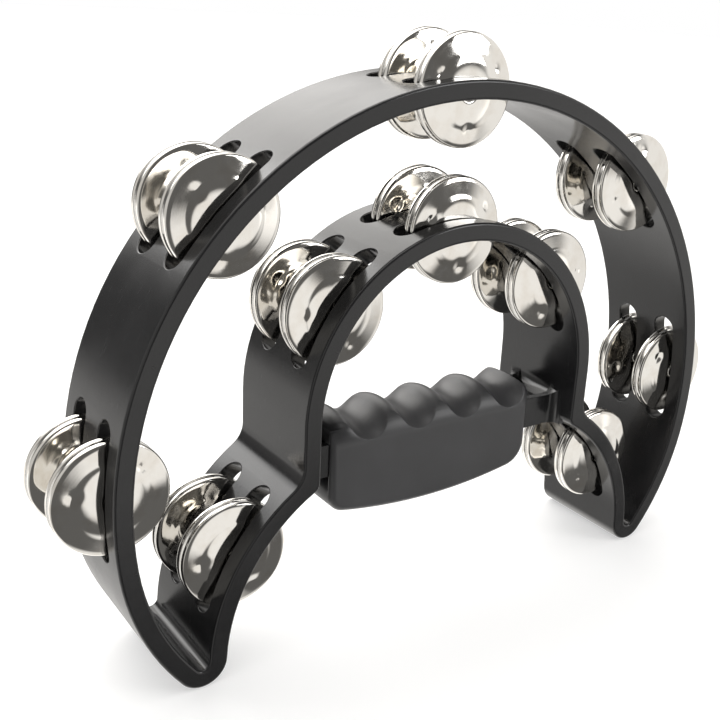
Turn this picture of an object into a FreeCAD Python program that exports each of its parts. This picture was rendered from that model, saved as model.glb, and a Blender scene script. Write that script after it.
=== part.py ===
"""Crescent tambourine with ten jingle stations, twenty jingle pairs and a moulded hand grip.

The frame is one closed ribbon of plastic seen from the front: a large outer arc, a nose at each
horn, two legs, and a smaller arch that goes round the hand. A core beam crosses the arch and
carries the grip. Every station has two slots, one behind the other, and one steel pin through
both. Each slot holds two dished jingles, hollow sides together, that hang on the pin.

Frame of reference: +X to the right seen from the front, +Y into the depth, +Z up. The tambourine
stands on its two horns, and the origin is at the middle of its base.
"""
import FreeCAD, Part
import math
import os

# ---- driving dimensions, in millimetres and degrees ----
DEPTH = 46.6              # front face to rear face of the ribbon
RIBBON = 6.6              # thickness of the ribbon
EDGE_ROUND = 1.0          # rounding along the front and rear edges of the ribbon
SLOT_EDGE_ROUND = 0.5     # rounding round each slot's mouth

OUTER_RADIUS = 132.5      # outer arc, outer surface
OUTER_RISE = 68.8         # centre of the outer arc above the base
ARCH_RADIUS = 65.8        # arch round the hand, surface away from the hand
ARCH_RISE = 18.2          # centre of the arch above the centre of the outer arc
HORN_START = -8.0         # angle where the outer arc starts to close in towards the horn
LEG_CENTRE_X = 26.7       # centre of the arc that each leg follows
LEG_CENTRE_DROP = 63.6    # how far that centre lies below the centre of the outer arc
LEG_RADIUS = 71.0         # middle of the leg's thickness
NOSE_RADIUS = 9.3         # outer rounding of each horn's tip
SHOULDER_INNER_ROUND = 4.0    # arch to leg, on the hand's side
SHOULDER_OUTER_ROUND = 9.5    # arch to leg, in the crescent

SLOT_LENGTH = 48.0
SLOT_WIDTH = 10.2
ROW_OFFSET = 10.6         # middle of the front and of the rear slots from mid depth

PIN_RADIUS = 1.0
PIN_HOLE_RADIUS = 1.02
PIN_FRONT_COVER = 4.0     # solid plastic left in front of the blind pin hole
PIN_RECESS = 0.3          # the driven end lies this far inside the rear face

JINGLE_RADIUS = 19.5
JINGLE_SHEET = 0.5        # sheet steel thickness
JINGLE_SKIRT = 2.7        # depth of the turned rim
JINGLE_RIM_ROUND = 0.8
FLANGE_RISE = 0.25        # the flange slopes up to the bell by this
BELL_RADIUS = 13.0
BELL_RISE = 1.25
JINGLE_HOLE_RADIUS = 2.5
PAIR_GAP = 0.4            # between the two rims of a pair
HANG_CLEARANCE = 0.05     # left between the top of the hole and the pin

CORE_DEPTH = 25.0         # H-shaped beam that carries the grip
CORE_HEIGHT = 12.4
CORE_DROP = 0.2           # middle of the beam below the centre of the outer arc
CORE_PLATE = 3.0
CORE_WEB = 3.0
CORE_FILLET = 4.0         # beam plates to the arch
CORE_REACH = 63.0         # the beam's ends, inside the uprights and flush with the start of each leg

GRIP_DEPTH = 30.0
GRIP_LEFT = -49.6         # the sleeve's two ends; it sits a little to the left of the middle
GRIP_RIGHT = 42.4
GRIP_BOTTOM_DROP = 24.5   # lowest line of the underside below the centre of the outer arc
GRIP_BOW_RADIUS = 215.0   # the underside is bowed, and lowest at GRIP_BOW_X
GRIP_BOW_X = -6.0
GRIP_LEFT_CORNER = 7.0    # lower corners
GRIP_RIGHT_CORNER = 10.0
GRIP_TOP_RISE = 15.2      # ridges between the fingers above the centre of the outer arc
GRIP_TOP_ROUND = 11.0     # along the front and the rear of the ridges
GRIP_TOP_CORNER = 4.0
GRIP_EDGE_ROUND = 2.5     # all round the sleeve's front and rear faces
FINGER_PITCH = 22.0
FINGER_COUNT = 4
FINGER_DEPTH = 4.2
FINGER_SHARE = 0.72       # part of the wave's two radii that the hollow takes
FINGER_TURN = 27.1        # the hollows turn round a line that lies this far below the ridges
CORE_CLEARANCE = 0.05     # between the beam and the grip moulded round it

# stations on the outer arc: name and angle from +X
OUTER_STATIONS = (
    ("outer_right_low", 2.8),
    ("outer_right_high", 45.6),
    ("outer_top", 90.0),
    ("outer_left_high", 134.4),
    ("outer_left_low", 177.2),
)
ARCH_STATIONS = (
    ("arch_right", 38.2),
    ("arch_top", 90.0),
    ("arch_left", 141.8),
)
LEG_STATION_ANGLE = 32.2  # on the leg's own arc

# ---- worked out from the driving dimensions ----
HALF = RIBBON / 2
LEG_INNER = LEG_RADIUS - HALF
LEG_OUTER = LEG_RADIUS + HALF


# the nose touches the leg's outer line and the base; the horn's arc touches the outer arc and the nose
LIFT = OUTER_RISE
ARCH_Z = LIFT + ARCH_RISE
LEG_Z = LIFT - LEG_CENTRE_DROP
CORE_Z = LIFT - CORE_DROP
NOSE_Z = NOSE_RADIUS
NOSE_X = LEG_CENTRE_X + math.sqrt((LEG_INNER + NOSE_RADIUS) ** 2 - (NOSE_Z - LEG_Z) ** 2)
START_X = math.cos(math.radians(HORN_START))
START_Z = math.sin(math.radians(HORN_START))
NOSE_FAR = math.hypot(NOSE_X, NOSE_Z - LIFT)
NOSE_ALONG = NOSE_X * START_X + (NOSE_Z - LIFT) * START_Z
FREE_RADIUS = OUTER_RADIUS - NOSE_RADIUS
HORN_SHIFT = (FREE_RADIUS**2 - NOSE_FAR**2) / (2 * (FREE_RADIUS - NOSE_ALONG))
HORN_RADIUS = OUTER_RADIUS - HORN_SHIFT
HORN_X = HORN_SHIFT * START_X
HORN_Z = LIFT + HORN_SHIFT * START_Z
HANG = JINGLE_HOLE_RADIUS - PIN_RADIUS - HANG_CLEARANCE   # jingles hang this far below the pin


def at(x, z, y=0.0):
    return FreeCAD.Vector(x, y, z)


def polar(cx, cz, radius, angle):
    a = math.radians(angle)
    return at(cx + radius * math.cos(a), cz + radius * math.sin(a))


def arc(cx, cz, radius, start, end):
    """An arc in the XZ plane about (cx, cz), between two angles in degrees."""
    middle = (start + end) / 2
    points = [polar(cx, cz, radius, a) for a in (start, middle, end)]
    return Part.Arc(*points).toShape()


def heading(cx, cz, x, z):
    return math.degrees(math.atan2(z - cz, x - cx))


def shoulder(leg_radius, wall_x, rounding):
    """Centre height of the rounding that joins the leg's arc to the arch's upright side."""
    cx = wall_x + rounding
    return LEG_Z + math.sqrt((leg_radius + rounding) ** 2 - (cx - LEG_CENTRE_X) ** 2)


def ribbon_loop(inset, leg_radius, shoulder_round):
    """One closed outline of the ribbon. inset is 0 outside and the ribbon's thickness inside."""
    wall_x = ARCH_RADIUS - RIBBON + inset
    to_nose = heading(HORN_X, HORN_Z, NOSE_X, NOSE_Z)
    from_leg = heading(LEG_CENTRE_X, LEG_Z, NOSE_X, NOSE_Z)
    turn_x = wall_x + shoulder_round
    turn_z = shoulder(leg_radius, wall_x, shoulder_round)
    at_shoulder = heading(LEG_CENTRE_X, LEG_Z, turn_x, turn_z)
    right = [
        arc(0, LIFT, OUTER_RADIUS - inset, 90, HORN_START),
        arc(HORN_X, HORN_Z, HORN_RADIUS - inset, HORN_START, to_nose),
        arc(NOSE_X, NOSE_Z, NOSE_RADIUS - inset, to_nose, from_leg - 180),
        arc(LEG_CENTRE_X, LEG_Z, leg_radius, from_leg, at_shoulder),
        arc(turn_x, turn_z, shoulder_round, at_shoulder + 180, 180),
        Part.makeLine(at(wall_x, turn_z), at(wall_x, ARCH_Z)),
        arc(0, ARCH_Z, wall_x, 0, 90),
    ]
    left = [edge.mirror(at(0, 0), FreeCAD.Vector(1, 0, 0)) for edge in right]
    return Part.Wire(Part.__sortEdges__(right + left))


def through_depth(wire, depth):
    """A solid of that outline, centred on mid depth."""
    face = Part.Face(wire)
    face.translate(FreeCAD.Vector(0, -depth / 2, 0))
    return face.extrude(FreeCAD.Vector(0, depth, 0))


def stations():
    """Name, pin place (x, z) and the direction across the ribbon, for all ten stations."""
    found = []
    for name, angle in OUTER_STATIONS:
        p = polar(0, LIFT, OUTER_RADIUS - HALF, angle)
        found.append((name, p.x, p.z, angle))
    for name, angle in ARCH_STATIONS:
        p = polar(0, ARCH_Z, ARCH_RADIUS - HALF, angle)
        found.append((name, p.x, p.z, angle))
    p = polar(LEG_CENTRE_X, LEG_Z, LEG_RADIUS, LEG_STATION_ANGLE)
    found.append(("leg_right", p.x, p.z, LEG_STATION_ANGLE))
    found.append(("leg_left", -p.x, p.z, 180 - LEG_STATION_ANGLE))
    return found


def slot_cutter(x, z, angle, y):
    """A round-ended bar through the ribbon: long along the ribbon, SLOT_WIDTH in depth."""
    reach = 4 * RIBBON
    end = SLOT_WIDTH / 2
    straight = SLOT_LENGTH / 2 - end
    bar = Part.makeBox(reach, SLOT_WIDTH, 2 * straight, FreeCAD.Vector(-reach / 2, -end, -straight))
    for side in (-1, 1):
        base = FreeCAD.Vector(-reach / 2, 0, side * straight)
        bar = bar.fuse(Part.makeCylinder(end, reach, base, FreeCAD.Vector(1, 0, 0)))
    bar = bar.removeSplitter()
    bar.rotate(FreeCAD.Vector(0, 0, 0), FreeCAD.Vector(0, 1, 0), -angle)
    bar.translate(FreeCAD.Vector(x, y, z))
    return bar


def pin_bar(x, z, radius, rear_recess):
    """A round bar along the depth, from the blind end of the hole to near the rear face."""
    front = -DEPTH / 2 + PIN_FRONT_COVER
    length = DEPTH / 2 - rear_recess - front
    return Part.makeCylinder(radius, length, at(x, z, front), FreeCAD.Vector(0, 1, 0))


def edges_in_plane(shape, y):
    """The edges that lie wholly in the plane at that depth."""
    return [
        edge for edge in shape.Edges
        if abs(edge.BoundBox.YMin - y) < 1e-4 and abs(edge.BoundBox.YMax - y) < 1e-4
    ]


def ribbon():
    outside = through_depth(ribbon_loop(0, LEG_INNER, SHOULDER_INNER_ROUND), DEPTH)
    inside = through_depth(ribbon_loop(RIBBON, LEG_OUTER, SHOULDER_OUTER_ROUND), DEPTH + 2)
    solid = outside.cut(inside)
    rims = edges_in_plane(solid, -DEPTH / 2) + edges_in_plane(solid, DEPTH / 2)
    return solid.makeFillet(EDGE_ROUND, rims)


def flared(half, across, spread, sides):
    """Outline of a bar along X that widens with a hollow rounding where it meets each upright.

    sides lists the edges that widen: 1 is the upper or rear edge and -1 the lower or front one.
    """
    wall = ARCH_RADIUS - RIBBON
    r = CORE_FILLET
    bend = r * (1 - math.sqrt(0.5))

    def p(x, v):
        return FreeCAD.Vector(x, v, 0) if across else at(x, CORE_Z + v)

    edges = []
    for side in (-1, 1):
        tips = []
        for up in (-1, 1):
            low = up * half
            tip = low
            if up in sides:
                tip = up * (half + r)
                corner = [p(side * (wall - r), low), p(side * (wall - bend), low + up * bend), p(side * wall, tip)]
                edges.append(Part.Arc(*corner).toShape())
                edges.append(Part.makeLine(p(side * wall, tip), p(side * CORE_REACH, tip)))
            tips.append(p(side * CORE_REACH, tip))
        edges.append(Part.makeLine(*tips))
    for up in (-1, 1):
        end = wall - r if up in sides else CORE_REACH
        edges.append(Part.makeLine(p(-end, up * half), p(end, up * half)))
    face = Part.Face(Part.Wire(Part.__sortEdges__(edges)))
    along = FreeCAD.Vector(0, 0, spread) if across else FreeCAD.Vector(0, spread, 0)
    face.translate(along * -0.5 + (at(0, CORE_Z) if across else at(0, 0)))
    return face.extrude(along)


def core_beam():
    """The H-shaped beam between the two uprights of the arch, with its ends sunk into them."""
    upright = flared(CORE_HEIGHT / 2, False, DEPTH, (1,))
    beam = upright.common(flared(CORE_DEPTH / 2, True, 3 * CORE_HEIGHT, (-1, 1)))
    wall = ARCH_RADIUS - RIBBON
    trough = CORE_DEPTH - 2 * CORE_PLATE
    for bottom in (CORE_Z + CORE_WEB / 2, CORE_Z - CORE_WEB / 2 - CORE_HEIGHT):
        corner = FreeCAD.Vector(-wall, -trough / 2, bottom)
        beam = beam.cut(Part.makeBox(2 * wall, trough, CORE_HEIGHT, corner))
    return beam


def slotted(solid):
    """Cuts the slots and rounds the edges of each slot, on both surfaces of the ribbon."""
    for _, x, z, angle in stations():
        for y in (-ROW_OFFSET, ROW_OFFSET):
            solid = solid.cut(slot_cutter(x, z, angle, y))
    inner = ROW_OFFSET - SLOT_WIDTH / 2 - 0.01
    outer = ROW_OFFSET + SLOT_WIDTH / 2 + 0.01
    mouths = []
    for edge in solid.Edges:
        box = edge.BoundBox
        in_row = inner < abs(box.Center.y) < outer and box.YLength < SLOT_WIDTH + 0.1
        through = edge.Curve.TypeId == "Part::GeomLine" and abs(edge.Length - RIBBON) < 1.5
        if in_row and not through:
            mouths.append(edge)
    return solid.makeFillet(SLOT_EDGE_ROUND, mouths)


def frame():
    solid = slotted(ribbon()).fuse(core_beam()).removeSplitter()
    for _, x, z, _ in stations():
        solid = solid.cut(pin_bar(x, z, PIN_HOLE_RADIUS, -1.0))
    return solid


def jingle(x, z, pair_y, facing):
    """One dished jingle. facing is -1 when its bell points to the front and 1 to the rear."""
    outer = JINGLE_RADIUS
    top = JINGLE_SKIRT
    bell_foot = top + FLANGE_RISE
    bell_top = bell_foot + BELL_RISE
    sheet = JINGLE_SHEET

    def p(radius, height):
        return FreeCAD.Vector(radius, height, 0)

    # outside of the sheet, from the rim's free edge to the hole
    bend = JINGLE_RIM_ROUND
    bend_mid = bend * (1 - math.sqrt(0.5))
    chord = BELL_RADIUS - JINGLE_HOLE_RADIUS
    bell_sphere = (chord**2 + BELL_RISE**2) / (2 * BELL_RISE)
    half_way = JINGLE_HOLE_RADIUS + chord / 2
    half_rise = math.sqrt(bell_sphere**2 - (chord / 2) ** 2) - (bell_sphere - BELL_RISE)
    edges = [
        Part.makeLine(p(outer, 0), p(outer, top - bend)),
        Part.Arc(p(outer, top - bend), p(outer - bend_mid, top - bend_mid), p(outer - bend, top)).toShape(),
        Part.makeLine(p(outer - bend, top), p(BELL_RADIUS, bell_foot)),
        Part.Arc(p(BELL_RADIUS, bell_foot), p(half_way, bell_foot + half_rise),
                 p(JINGLE_HOLE_RADIUS, bell_top)).toShape(),
        Part.makeLine(p(JINGLE_HOLE_RADIUS, bell_top), p(JINGLE_HOLE_RADIUS, bell_top - sheet)),
        Part.Arc(p(JINGLE_HOLE_RADIUS, bell_top - sheet), p(half_way, bell_foot + half_rise - sheet),
                 p(BELL_RADIUS, bell_foot - sheet)).toShape(),
        Part.makeLine(p(BELL_RADIUS, bell_foot - sheet), p(outer - bend, top - sheet)),
        Part.makeLine(p(outer - bend, top - sheet), p(outer - sheet, top - bend)),
        Part.makeLine(p(outer - sheet, top - bend), p(outer - sheet, 0)),
        Part.makeLine(p(outer - sheet, 0), p(outer, 0)),
    ]
    section = Part.Face(Part.Wire(edges))
    disc = section.revolve(FreeCAD.Vector(0, 0, 0), FreeCAD.Vector(0, 1, 0), 360)
    if facing < 0:
        disc.rotate(FreeCAD.Vector(0, 0, 0), FreeCAD.Vector(1, 0, 0), 180)
    disc.translate(at(x, z - HANG, pair_y + facing * PAIR_GAP / 2))
    return disc


def corner_on_bow(end_x, radius):
    """Centre of a lower corner that touches the sleeve's end and its bowed underside."""
    inward = radius if end_x < 0 else -radius
    x = end_x + inward
    bow_z = LIFT - GRIP_BOTTOM_DROP + GRIP_BOW_RADIUS
    return x, bow_z - math.sqrt((GRIP_BOW_RADIUS - radius) ** 2 - (x - GRIP_BOW_X) ** 2)


def grip_outline():
    """The sleeve seen from the front, without the finger hollows."""
    top = LIFT + GRIP_TOP_RISE
    bow_z = LIFT - GRIP_BOTTOM_DROP + GRIP_BOW_RADIUS
    left_x, left_z = corner_on_bow(GRIP_LEFT, GRIP_LEFT_CORNER)
    right_x, right_z = corner_on_bow(GRIP_RIGHT, GRIP_RIGHT_CORNER)
    left_turn = heading(GRIP_BOW_X, bow_z, left_x, left_z)
    right_turn = heading(GRIP_BOW_X, bow_z, right_x, right_z)
    r = GRIP_TOP_CORNER
    edges = [
        arc(GRIP_RIGHT - r, top - r, r, 90, 0),
        Part.makeLine(at(GRIP_RIGHT, top - r), at(GRIP_RIGHT, right_z)),
        arc(right_x, right_z, GRIP_RIGHT_CORNER, 0, right_turn),
        arc(GRIP_BOW_X, bow_z, GRIP_BOW_RADIUS, right_turn, left_turn),
        arc(left_x, left_z, GRIP_LEFT_CORNER, left_turn, -180),
        Part.makeLine(at(GRIP_LEFT, left_z), at(GRIP_LEFT, top - r)),
        arc(GRIP_LEFT + r, top - r, r, 180, 90),
        Part.makeLine(at(GRIP_LEFT + r, top), at(GRIP_RIGHT - r, top)),
    ]
    return Part.Wire(Part.__sortEdges__(edges))


def grip_section():
    """A long block with the sleeve's flat sides and its rounded top."""
    length = 4 * GRIP_RIGHT
    bottom = LIFT - GRIP_BOTTOM_DROP - 1
    height = LIFT + GRIP_TOP_RISE - bottom
    block = Part.makeBox(length, GRIP_DEPTH, height, FreeCAD.Vector(-length / 2, -GRIP_DEPTH / 2, bottom))
    upper = [e for e in block.Edges if e.BoundBox.XLength > GRIP_DEPTH and e.BoundBox.ZMin > LIFT]
    return block.makeFillet(GRIP_TOP_ROUND, upper)


def finger_barrel():
    """A wavy barrel turned round a line along X, on a block. Its top has the hollows and the ridges."""
    far = 2 * GRIP_RIGHT
    crest = LIFT + GRIP_TOP_RISE
    axis_z = crest - FINGER_TURN
    half_pitch = FINGER_PITCH / 2
    turn = 2 * math.atan2(FINGER_DEPTH, half_pitch)
    both = half_pitch / math.sin(turn)
    hollow = both * FINGER_SHARE
    ridge = both - hollow
    hollow_z = crest - ridge + both * math.cos(turn)
    turn = math.degrees(turn)
    first = -FINGER_COUNT / 2 * FINGER_PITCH
    edges = [
        Part.makeLine(at(-first, crest), at(far, crest)),
        Part.makeLine(at(far, crest), at(far, axis_z)),
        Part.makeLine(at(far, axis_z), at(-far, axis_z)),
        Part.makeLine(at(-far, axis_z), at(-far, crest)),
        Part.makeLine(at(-far, crest), at(first, crest)),
    ]
    for i in range(FINGER_COUNT + 1):
        x = first + i * FINGER_PITCH
        start = 90 if i == 0 else 90 + turn
        end = 90 if i == FINGER_COUNT else 90 - turn
        edges.append(arc(x, crest - ridge, ridge, start, end))
        if i < FINGER_COUNT:
            edges.append(arc(x + half_pitch, hollow_z, hollow, 270 - turn, 270 + turn))
    section = Part.Face(Part.Wire(Part.__sortEdges__(edges)))
    barrel = section.revolve(at(0, axis_z), FreeCAD.Vector(1, 0, 0), 360)
    under = Part.makeBox(2 * far, 2 * FINGER_TURN, 2 * FINGER_TURN,
                         FreeCAD.Vector(-far, -FINGER_TURN, axis_z + 2 - 2 * FINGER_TURN))
    return barrel.fuse(under)


def grip():
    body = through_depth(grip_outline(), GRIP_DEPTH)
    rims = edges_in_plane(body, -GRIP_DEPTH / 2) + edges_in_plane(body, GRIP_DEPTH / 2)
    body = body.makeFillet(GRIP_EDGE_ROUND, rims)
    body = body.common(grip_section()).common(finger_barrel())
    depth = CORE_DEPTH + 2 * CORE_CLEARANCE
    height = CORE_HEIGHT + 2 * CORE_CLEARANCE
    bore = Part.makeBox(
        4 * GRIP_RIGHT, depth, height,
        FreeCAD.Vector(-2 * GRIP_RIGHT, -depth / 2, CORE_Z - height / 2),
    )
    return body.cut(bore)


def pins():
    return Part.makeCompound([pin_bar(x, z, PIN_RADIUS, PIN_RECESS) for _, x, z, _ in stations()])


def save(shape, node):
    for solid in shape.Solids:
        if not solid.isValid():
            print("not valid:", node)
    shape.exportStep(os.path.join("parts", node + ".step"))
    print(f"{node}: {len(shape.Solids)} solid, {shape.Volume:.0f} mm3")


os.makedirs("parts", exist_ok=True)
save(frame(), "frame")
save(grip(), "grip_sleeve")
save(pins(), "jingle_pins")
for station, pin_x, pin_z, _ in stations():
    for row, row_y in (("front", -ROW_OFFSET), ("rear", ROW_OFFSET)):
        for disc_name, toward in (("fore", -1), ("aft", 1)):
            save(jingle(pin_x, pin_z, row_y, toward), f"jingle_{station}_{row}_{disc_name}")
print(f"centre of the outer arc {LIFT:.2f} mm above the base, nose at x {NOSE_X:.2f}")
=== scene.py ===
# %% [markdown]
# # A crescent tambourine
# The tambourine is one black moulded ribbon with ten stations of loose nickel jingles and a grip
# for the hand. The CAD frame brings the true sizes and the bodies that move. This file gives every
# piece its surface: soft shading on the ribbon, stamped jingles, and the light that they reflect.

# %% Load the frame
import math
import random

import bmesh
import bpy
from mathutils import Matrix, Vector


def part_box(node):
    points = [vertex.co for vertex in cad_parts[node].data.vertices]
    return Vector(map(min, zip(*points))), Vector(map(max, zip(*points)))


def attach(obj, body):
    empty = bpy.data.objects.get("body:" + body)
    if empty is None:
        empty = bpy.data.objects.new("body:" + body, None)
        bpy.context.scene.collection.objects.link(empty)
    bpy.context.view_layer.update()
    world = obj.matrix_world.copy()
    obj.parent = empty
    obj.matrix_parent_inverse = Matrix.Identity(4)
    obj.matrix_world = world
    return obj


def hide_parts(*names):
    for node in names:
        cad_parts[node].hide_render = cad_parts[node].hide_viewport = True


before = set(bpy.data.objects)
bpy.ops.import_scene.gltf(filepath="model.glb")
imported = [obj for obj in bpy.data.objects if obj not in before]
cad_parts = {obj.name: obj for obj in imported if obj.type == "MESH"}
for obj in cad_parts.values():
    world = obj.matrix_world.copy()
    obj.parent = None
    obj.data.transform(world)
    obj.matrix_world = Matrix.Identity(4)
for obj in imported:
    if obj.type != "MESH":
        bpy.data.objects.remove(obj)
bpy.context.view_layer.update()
MM = 0.001

# %% [markdown]
# ## Helpers for materials
# A material in Blender is a small graph. Every finish here starts from the Principled shader and
# adds a few texture nodes. One helper makes the graph, another adds and links a node, and small ones
# make the nodes that every finish uses. The world has a graph of its own, so they serve it too.

# %% Helpers for node graphs
def new_material(name):
    material = bpy.data.materials.new(name)
    material.use_nodes = True
    graph = material.node_tree
    return material, graph, graph.nodes["Principled BSDF"]


def add(graph, kind, inputs=None, **settings):
    """Adds a node. inputs maps a socket's name or number to a value or to another node's output."""
    node = graph.nodes.new(kind)
    for key, value in settings.items():
        setattr(node, key, value)
    for key, value in (inputs or {}).items():
        if isinstance(value, bpy.types.NodeSocket):
            graph.links.new(value, node.inputs[key])
        else:
            node.inputs[key].default_value = value
    return node


def spread(graph, value, low, high, start=0.3, end=0.7):
    """Stretches a texture's value from start..end to low..high."""
    settings = {"Value": value, "From Min": start, "From Max": end, "To Min": low, "To Max": high}
    return add(graph, "ShaderNodeMapRange", settings).outputs["Result"]


def math_of(graph, operation, first, second):
    return add(graph, "ShaderNodeMath", {0: first, 1: second}, operation=operation).outputs[0]


def bump(graph, height, strength, distance, normal=None):
    settings = {"Height": height, "Strength": strength, "Distance": distance}
    if normal is not None:
        settings["Normal"] = normal
    return add(graph, "ShaderNodeBump", settings).outputs["Normal"]


def noise(graph, place, scale, detail=2.0, roughness=0.5):
    settings = {"Vector": place, "Scale": scale, "Detail": detail, "Roughness": roughness}
    return add(graph, "ShaderNodeTexNoise", settings).outputs["Fac"]


# %% [markdown]
# ## Black moulded plastic
# The ribbon is glossy ABS. A real moulding is never optically flat: it has a faint orange peel, a
# slow waviness where it cooled, and fine rubs from handling. Three noises of different scale give
# that through the bump and the roughness, and the colour stays almost black.

# %% Ribbon plastic
WAVE_SCALE = 55.0
PEEL_SCALE = 1400.0
RUB_SCALE = (90.0, 1500.0, 140.0)
RUB_TURN = (0.3, 0.2, 0.5)
RUB_DULLNESS = 0.10
WAVE_STRENGTH = 0.10
WAVE_HEIGHT = 0.6 * MM
PEEL_HEIGHT = 0.08 * MM


def moulded_plastic(name, tone, gloss, matt, grain):
    """tone is the darkest grey, gloss and matt the ends of the roughness, grain the peel's strength."""
    material, graph, shader = new_material(name)
    place = add(graph, "ShaderNodeTexCoord").outputs["Object"]
    slow = noise(graph, place, WAVE_SCALE, 3.0)
    peel = noise(graph, place, PEEL_SCALE)
    stretched = add(graph, "ShaderNodeMapping",
                    {"Vector": place, "Scale": RUB_SCALE, "Rotation": RUB_TURN})
    rubs = noise(graph, stretched.outputs["Vector"], 1.0, 4.0, 0.7)
    rub_mask = spread(graph, rubs, 0.0, RUB_DULLNESS, 0.62, 0.72)
    rough = math_of(graph, "ADD", spread(graph, slow, gloss, matt), rub_mask)
    graph.links.new(rough, shader.inputs["Roughness"])
    dark = (tone, tone, tone * 1.04, 1)
    light = (tone * 1.6, tone * 1.6, tone * 1.7, 1)
    colour = add(graph, "ShaderNodeMix", {"Factor": slow, "A": dark, "B": light}, data_type="RGBA")
    graph.links.new(colour.outputs["Result"], shader.inputs["Base Color"])
    wave = bump(graph, slow, WAVE_STRENGTH, WAVE_HEIGHT)
    skin = bump(graph, peel, grain, PEEL_HEIGHT, wave)
    graph.links.new(skin, shader.inputs["Normal"])
    return material


ribbon_black = moulded_plastic("ribbon_black_plastic", tone=0.010, gloss=0.16, matt=0.24, grain=0.14)
grip_black = moulded_plastic("grip_black_elastomer", tone=0.034, gloss=0.32, matt=0.42, grain=0.30)
print("plastics made")

# %% [markdown]
# ## Polished nickel
# A jingle is stamped from thin steel and plated. Its polish leaves faint rings round the middle.
# Object coordinates can't be centred on forty discs, so every disc carries an attribute with its
# own place, measured from its own middle. The rings and the stains read that attribute.

# %% Jingle nickel
CLEAN_NICKEL = (0.86, 0.84, 0.80, 1)
STAINED_NICKEL = (0.74, 0.69, 0.62, 1)
NICKEL_ROUGHNESS = (0.05, 0.10)
RING_SCALE = 1800.0
RING_HEIGHT = 0.03 * MM
STAIN_SCALE = 160.0
STAIN_HEIGHT = 0.2 * MM
CLOUD_SCALE = 420.0
NICKEL_BUMP = 0.05


def polished_nickel(name):
    material, graph, shader = new_material(name)
    place = add(graph, "ShaderNodeAttribute", attribute_name="disc_place").outputs["Vector"]
    parts = add(graph, "ShaderNodeSeparateXYZ", {"Vector": place})
    flat = add(graph, "ShaderNodeCombineXYZ", {"X": parts.outputs["X"], "Y": parts.outputs["Z"]})
    length = add(graph, "ShaderNodeVectorMath", {0: flat.outputs[0]}, operation="LENGTH")
    ring_place = add(graph, "ShaderNodeCombineXYZ",
                     {"X": length.outputs["Value"], "Y": parts.outputs["Y"]})
    rings = noise(graph, ring_place.outputs[0], RING_SCALE, 3.0, 0.7)
    stains = noise(graph, place, STAIN_SCALE, 4.0)
    clouds = noise(graph, place, CLOUD_SCALE, 3.0)
    stained = spread(graph, stains, 0.0, 0.6, 0.45, 0.75)
    colour = add(graph, "ShaderNodeMix", {"Factor": stained, "A": CLEAN_NICKEL, "B": STAINED_NICKEL},
                 data_type="RGBA")
    graph.links.new(colour.outputs["Result"], shader.inputs["Base Color"])
    graph.links.new(spread(graph, clouds, *NICKEL_ROUGHNESS), shader.inputs["Roughness"])
    shader.inputs["Metallic"].default_value = 1.0
    lines = bump(graph, rings, NICKEL_BUMP, RING_HEIGHT)
    uneven = bump(graph, stains, NICKEL_BUMP, STAIN_HEIGHT, lines)
    graph.links.new(uneven, shader.inputs["Normal"])
    return material


# %% [markdown]
# ## Drawn wire
# A pin is cut from wire that was pulled through a die, so its fine lines run along Y. Stretching the
# noise along that axis makes them: a small scale along Y and a large one across.

# %% Pin steel
WIRE_GREY = (0.62, 0.61, 0.60, 1)
WIRE_SCALE = (3000.0, 60.0, 3000.0)
WIRE_ROUGHNESS = (0.18, 0.38)
WIRE_BUMP = 0.2
WIRE_HEIGHT = 0.03 * MM


def drawn_wire(name):
    material, graph, shader = new_material(name)
    place = add(graph, "ShaderNodeTexCoord").outputs["Object"]
    drawn = add(graph, "ShaderNodeMapping", {"Vector": place, "Scale": WIRE_SCALE})
    lines = noise(graph, drawn.outputs["Vector"], 1.0, 3.0)
    graph.links.new(spread(graph, lines, *WIRE_ROUGHNESS), shader.inputs["Roughness"])
    graph.links.new(bump(graph, lines, WIRE_BUMP, WIRE_HEIGHT), shader.inputs["Normal"])
    shader.inputs["Base Color"].default_value = WIRE_GREY
    shader.inputs["Metallic"].default_value = 1.0
    return material


nickel = polished_nickel("jingle_polished_nickel")
pin_steel = drawn_wire("pin_drawn_steel")
print("metals made")

# %% [markdown]
# ## The ribbon and the grip, shaded smooth
# The CAD solids have the right shape, but they arrive as loose flat triangles, and gloss shows
# every facet. A copy with its corners merged can be shaded smooth. Edges sharper than 35 degrees
# on the ribbon, and 50 on the rounder grip, stay crisp. Weighted normals keep the broad faces calm
# beside the small roundings.

# %% Smooth copies of CAD solids
MERGE_DISTANCE = 0.002 * MM
SLIVER = 0.0001 * MM
RIBBON_CREASE = 35.0
GRIP_CREASE = 50.0
BROAD_FACE_WEIGHT = 60


def smooth_copy(node, name, material, crease):
    bm = bmesh.new()
    bm.from_mesh(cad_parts[node].data)
    bmesh.ops.remove_doubles(bm, verts=bm.verts, dist=MERGE_DISTANCE)
    bmesh.ops.dissolve_degenerate(bm, edges=bm.edges, dist=SLIVER)
    for face in bm.faces:
        face.smooth = True
    mesh = bpy.data.meshes.new(name)
    bm.to_mesh(mesh)
    bm.free()
    mesh.set_sharp_from_angle(angle=math.radians(crease))
    mesh.materials.clear()
    mesh.materials.append(material)
    piece = bpy.data.objects.new(name, mesh)
    bpy.context.collection.objects.link(piece)
    weighted = piece.modifiers.new("calm_faces", "WEIGHTED_NORMAL")
    weighted.keep_sharp = True
    weighted.weight = BROAD_FACE_WEIGHT
    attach(piece, "frame_body")
    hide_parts(node)
    print(name, len(mesh.polygons), "triangles")


smooth_copy("frame", "ribbon_frame", ribbon_black, RIBBON_CREASE)
smooth_copy("grip_sleeve", "finger_grip", grip_black, GRIP_CREASE)
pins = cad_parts["jingle_pins"]
for slot in pins.material_slots:
    slot.material = pin_steel

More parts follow.
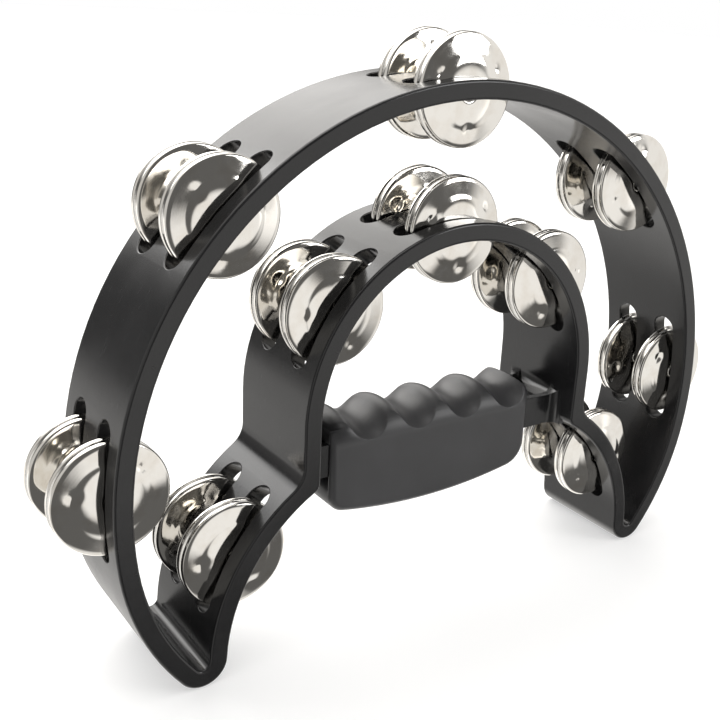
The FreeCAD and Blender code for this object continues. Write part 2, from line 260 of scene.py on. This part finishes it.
# %% [markdown]
# ## One stamped jingle
# A jingle is a shallow dish: a turned rim, a flange that slopes up to a low flat bell with a hole,
# and three dents round the bell. Only half of its section has to be drawn. Spin turns that short
# line of points into the whole dish, bevel rounds the rim, and Solidify gives the sheet its
# thickness. The bell's height is a formula: flat in the middle, steeper at its foot, and with a
# small lip that turns down into the hole.

# %% Sizes of a jingle, in millimetres
DISC_RADIUS = 19.5
SKIRT = 2.4
FLANGE_RISE = 1.05
BELL_RADIUS = 13.0
BELL_RISE = 0.75
HOLE_RADIUS = 2.5
SHEET = 0.5
RIM_ROUND = 0.8
LIP_DROP = 0.40
LIP_WIDTH = 2.2
DENT_DEPTH = 0.35
DENT_WIDTH = 1.9
DENT_REACH = 3            # a dent has faded out this many widths from its middle
FLANGE_RADII = (17.6, 16.2, 15.0, 14.2, 13.6)
BELL_RADII = (BELL_RADIUS, 12.4, 11.8, 11.0, 9.8, 8.2, 6.6, 5.2, 4.5, 3.9, 3.4, 2.9, HOLE_RADIUS)
STEPS = 96
SAME_PLACE = 0.001 * MM
STAIN_SHIFT = 0.1         # metres between two discs' places in the noise, so no two are stained alike


def bell_height(radius):
    """Height of the bell above the flange's inner edge."""
    share = (radius - HOLE_RADIUS) / (BELL_RADIUS - HOLE_RADIUS)
    lip = LIP_DROP * max(0.0, 1 - (radius - HOLE_RADIUS) / LIP_WIDTH) ** 2
    return BELL_RISE * (1 - share**4) - lip


def half_section():
    points = [(DISC_RADIUS, 0.0), (DISC_RADIUS, SKIRT)]
    for radius in FLANGE_RADII:
        along = (DISC_RADIUS - radius) / (DISC_RADIUS - BELL_RADIUS)
        points.append((radius, SKIRT + FLANGE_RISE * along))
    for radius in BELL_RADII:
        points.append((radius, SKIRT + FLANGE_RISE + bell_height(radius)))
    return points


# %% [markdown]
# The rim's corner is the circle of edges where the skirt meets the flange, so it is found by radius
# and height. A dent pushes the sheet in by a bell curve of the distance from its middle.

# %% Stamp a jingle
def on_shoulder(vert):
    radius = math.hypot(vert.co.x, vert.co.z)
    return abs(radius - DISC_RADIUS * MM) < SAME_PLACE and abs(vert.co.y + SKIRT * MM) < SAME_PLACE


def press_dent(bm, angle):
    middle = Vector((math.cos(angle), 0, math.sin(angle))) * BELL_RADIUS * MM
    for vert in bm.verts:
        away = math.hypot(vert.co.x - middle.x, vert.co.z - middle.z) / (DENT_WIDTH * MM)
        if away < DENT_REACH:
            vert.co.y += DENT_DEPTH * MM * math.exp(-away * away)


def stamped_jingle(name, turn, seed):
    """A dish round the Y axis with its bell towards -Y and the middle of its rim at the origin."""
    bm = bmesh.new()
    line = [bm.verts.new((r * MM, -h * MM, 0)) for r, h in half_section()]
    edges = [bm.edges.new(pair) for pair in zip(line, line[1:])]
    bmesh.ops.spin(bm, geom=line + edges, cent=(0, 0, 0), axis=(0, 1, 0), dvec=(0, 0, 0),
                   angle=math.tau, steps=STEPS, use_merge=True)
    bmesh.ops.remove_doubles(bm, verts=bm.verts, dist=SAME_PLACE)
    corner = [edge for edge in bm.edges if all(on_shoulder(vert) for vert in edge.verts)]
    bmesh.ops.bevel(bm, geom=corner, offset=RIM_ROUND * MM, affect="EDGES", segments=4, profile=0.5,
                    material=-1)
    for third in range(3):
        press_dent(bm, turn + third * math.tau / 3)
    bmesh.ops.recalc_face_normals(bm, faces=bm.faces)
    if sum(f.normal.y * f.calc_area() for f in bm.faces) > 0:
        bmesh.ops.reverse_faces(bm, faces=bm.faces)
    layer = bm.verts.layers.float_vector.new("disc_place")
    for vert in bm.verts:
        vert[layer] = (vert.co.x, vert.co.y + seed * STAIN_SHIFT, vert.co.z)
    for face in bm.faces:
        face.smooth = True
    mesh = bpy.data.meshes.new(name)
    bm.to_mesh(mesh)
    bm.free()
    return mesh


# %% [markdown]
# ## Forty jingles on their pins
# The CAD box of each jingle says where its middle is. Its name says which way its bell looks: a
# "fore" disc looks to the front and an "aft" disc is turned round to the rear. Every disc is turned
# about its pin by its own random angle, so the dents of a pair rarely line up.

# %% Hang the jingles
luck = random.Random(7)
jingle_nodes = sorted(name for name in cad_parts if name.endswith(("_fore", "_aft")))
for number, node in enumerate(jingle_nodes):
    low, high = (Vector(corner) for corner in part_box(node))
    middle = (low + high) / 2
    mesh = stamped_jingle(node.replace("jingle_", "disc_"), luck.uniform(0, math.tau), number)
    looks_front = node.endswith("_fore")
    rim_y = high.y if looks_front else low.y
    flip = Matrix.Identity(4) if looks_front else Matrix.Rotation(math.pi, 4, "Z")
    mesh.transform(Matrix.Translation((middle.x, rim_y, middle.z)) @ flip)
    mesh.materials.append(nickel)
    disc = bpy.data.objects.new(mesh.name, mesh)
    bpy.context.collection.objects.link(disc)
    sheet = disc.modifiers.new("sheet", "SOLIDIFY")
    sheet.thickness = SHEET * MM
    sheet.offset = -1.0
    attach(disc, node + "_body")
    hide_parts(node)
print("jingles", len(jingle_nodes))

# %% [markdown]
# ## The floor
# A pale floor carries the soft shadow. It is hidden from glossy rays, because the room in the next
# step says what metal and gloss reflect in every direction, downwards too.

# %% Floor
FLOOR_REACH = 6.0
FLOOR_GREY = (0.55, 0.55, 0.55, 1)
FLOOR_GLOW = 0.50
WHITE = (1.0, 1.0, 1.0, 1)
floor_bm = bmesh.new()
bmesh.ops.create_grid(floor_bm, x_segments=1, y_segments=1, size=FLOOR_REACH)
floor_mesh = bpy.data.meshes.new("floor")
floor_bm.to_mesh(floor_mesh)
floor_bm.free()
floor = bpy.data.objects.new("floor", floor_mesh)
bpy.context.collection.objects.link(floor)
floor_white, floor_graph, floor_shader = new_material("floor_white")
floor_place = add(floor_graph, "ShaderNodeTexCoord").outputs["Object"]
floor_rough = spread(floor_graph, noise(floor_graph, floor_place, 8.0), 0.75, 0.9)
floor_graph.links.new(floor_rough, floor_shader.inputs["Roughness"])
floor_shader.inputs["Base Color"].default_value = FLOOR_GREY
floor_shader.inputs["Emission Color"].default_value = WHITE
floor_shader.inputs["Emission Strength"].default_value = FLOOR_GLOW
floor_mesh.materials.append(floor_white)
floor.visible_glossy = False

# %% [markdown]
# ## The room in the reflections
# Polished metal only shows what stands round it, so the sky is a small room made of directions. A
# glow is a soft disc of light round one direction. A smooth range makes a wall or a table, which
# begins at one value of X, Y or Z.

# %% Tools for the sky
world = bpy.data.worlds.new("studio")
bpy.context.scene.world = world
world.use_nodes = True
sky = world.node_tree
toward = add(sky, "ShaderNodeTexCoord").outputs["Generated"]
along_x, along_y, along_z = add(sky, "ShaderNodeSeparateXYZ", {"Vector": toward}).outputs


def smooth_range(value, start, end):
    """0 at start, 1 at end, and smooth between."""
    settings = {"Value": value, "From Min": start, "From Max": end}
    ranged = add(sky, "ShaderNodeMapRange", settings, interpolation_type="SMOOTHSTEP")
    return ranged.outputs["Result"]


def glow(direction, inner, outer):
    """1 within inner degrees of a direction, 0 beyond outer degrees."""
    axis = tuple(Vector(direction).normalized())
    dot = add(sky, "ShaderNodeVectorMath", {0: toward, 1: axis}, operation="DOT_PRODUCT")
    inner_cosine = math.cos(math.radians(inner))
    outer_cosine = math.cos(math.radians(outer))
    return smooth_range(dot.outputs["Value"], outer_cosine, inner_cosine)


# %% [markdown]
# Every light of the room is a mask times a strength, and their sum is the sky's brightness. Two
# windows stand in front, a little under the horizon, where the bells reflect them. A panel high at
# the back is seen in the faces that look up. The camera itself sees plain white, by way of the Light
# Path node.

# %% Lights of the room, by direction
AMBIENT = 0.12
WARM_WHITE = (1.0, 0.98, 0.95, 1)
low_window = glow((0.295, -0.909, -0.292), 12, 17)
high_window = glow((0.602, -0.771, -0.208), 10, 15)
behind = smooth_range(along_y, -0.1, 0.2)
below = smooth_range(along_z, -0.05, -0.2)
lights = (
    (glow((-0.1, 0.1, 1), 15, 50), 1.4),                          # overhead
    (glow((0.1, 0.76, 0.64), 5, 42), 3.0),                        # panel high at the back
    (math_of(sky, "MAXIMUM", low_window, high_window), 0.85),     # windows
    (smooth_range(along_x, 0.66, 0.80), 0.8),                     # right wall
    (smooth_range(along_x, -0.45, -0.75), 0.5),                   # left wall
    (math_of(sky, "MULTIPLY", behind, below), 0.8),               # table behind the object
    (smooth_range(along_z, -0.7, -0.8), 0.8),                     # table under the object
)
brightness = AMBIENT
for light, strength in lights:
    brightness = math_of(sky, "ADD", math_of(sky, "MULTIPLY", light, strength), brightness)
sky_shader = sky.nodes["Background"]
sky.links.new(brightness, sky_shader.inputs["Strength"])
sky_shader.inputs["Color"].default_value = WARM_WHITE
plain = add(sky, "ShaderNodeBackground", {"Color": WHITE, "Strength": 1.0})
seen = add(sky, "ShaderNodeLightPath").outputs["Is Camera Ray"]
choice = add(sky, "ShaderNodeMixShader", {0: seen, 1: sky_shader.outputs[0], 2: plain.outputs[0]})
sky.links.new(choice.outputs[0], sky.nodes["World Output"].inputs["Surface"])

# %% [markdown]
# ## Three soft lamps
# Three weak area lamps, over, behind and in front, add to the shadow on the floor and to the
# highlights on the rounded edges.

# %% Lamps
LAMP_TARGET = (0, 0, 0.1)


def soft_lamp(name, place, width, height, watts):
    data = bpy.data.lights.new(name, "AREA")
    data.shape = "RECTANGLE"
    data.size = width
    data.size_y = height
    data.energy = watts
    lamp = bpy.data.objects.new(name, data)
    bpy.context.collection.objects.link(lamp)
    lamp.location = place
    lamp.rotation_euler = (Vector(LAMP_TARGET) - Vector(place)).to_track_quat("-Z", "Y").to_euler()


soft_lamp("lamp_overhead", (-0.2, 0.1, 1.3), 0.9, 0.9, 4.5)
soft_lamp("lamp_back", (-0.5, 1.1, 0.8), 0.8, 0.5, 3)
soft_lamp("lamp_front", (0.9, -1.1, 0.7), 0.5, 0.8, 6)
print("lamps placed")

# %% [markdown]
# ## The camera
# The camera stands close, a little to the left and above, so the near horn looks larger than the
# far one. Its place is one point. Its aim is a heading, a rise and a small roll, which are turned
# into the three axes of the camera.

# %% Camera
HEADING = -36.5
RISE = 19.81
ROLL = 3.48
LENS = 52.16
SHIFT_X = -0.0625
SHIFT_Y = 0.0028
SENSOR = 36.0
EYE = Vector((-0.2299, -0.2980, 0.2290))
heading, rise, roll = (math.radians(a) for a in (HEADING, RISE, ROLL))
back = Vector((math.sin(heading) * math.cos(rise), -math.cos(heading) * math.cos(rise), math.sin(rise)))
right = Vector((-back.y, back.x, 0)).normalized()
up = back.cross(right)
right, up = (right * math.cos(roll) + up * math.sin(roll), up * math.cos(roll) - right * math.sin(roll))
camera_data = bpy.data.cameras.new("camera")
camera_data.lens = LENS
camera_data.sensor_width = SENSOR
camera_data.shift_x = SHIFT_X
camera_data.shift_y = SHIFT_Y
camera_data.clip_start = 0.01
camera = bpy.data.objects.new("camera", camera_data)
camera.matrix_world = Matrix((
    (right.x, up.x, back.x, EYE.x),
    (right.y, up.y, back.y, EYE.y),
    (right.z, up.z, back.z, EYE.z),
    (0, 0, 0, 1),
))
bpy.context.collection.objects.link(camera)
bpy.context.scene.camera = camera
bpy.context.scene.view_settings.view_transform = "Standard"
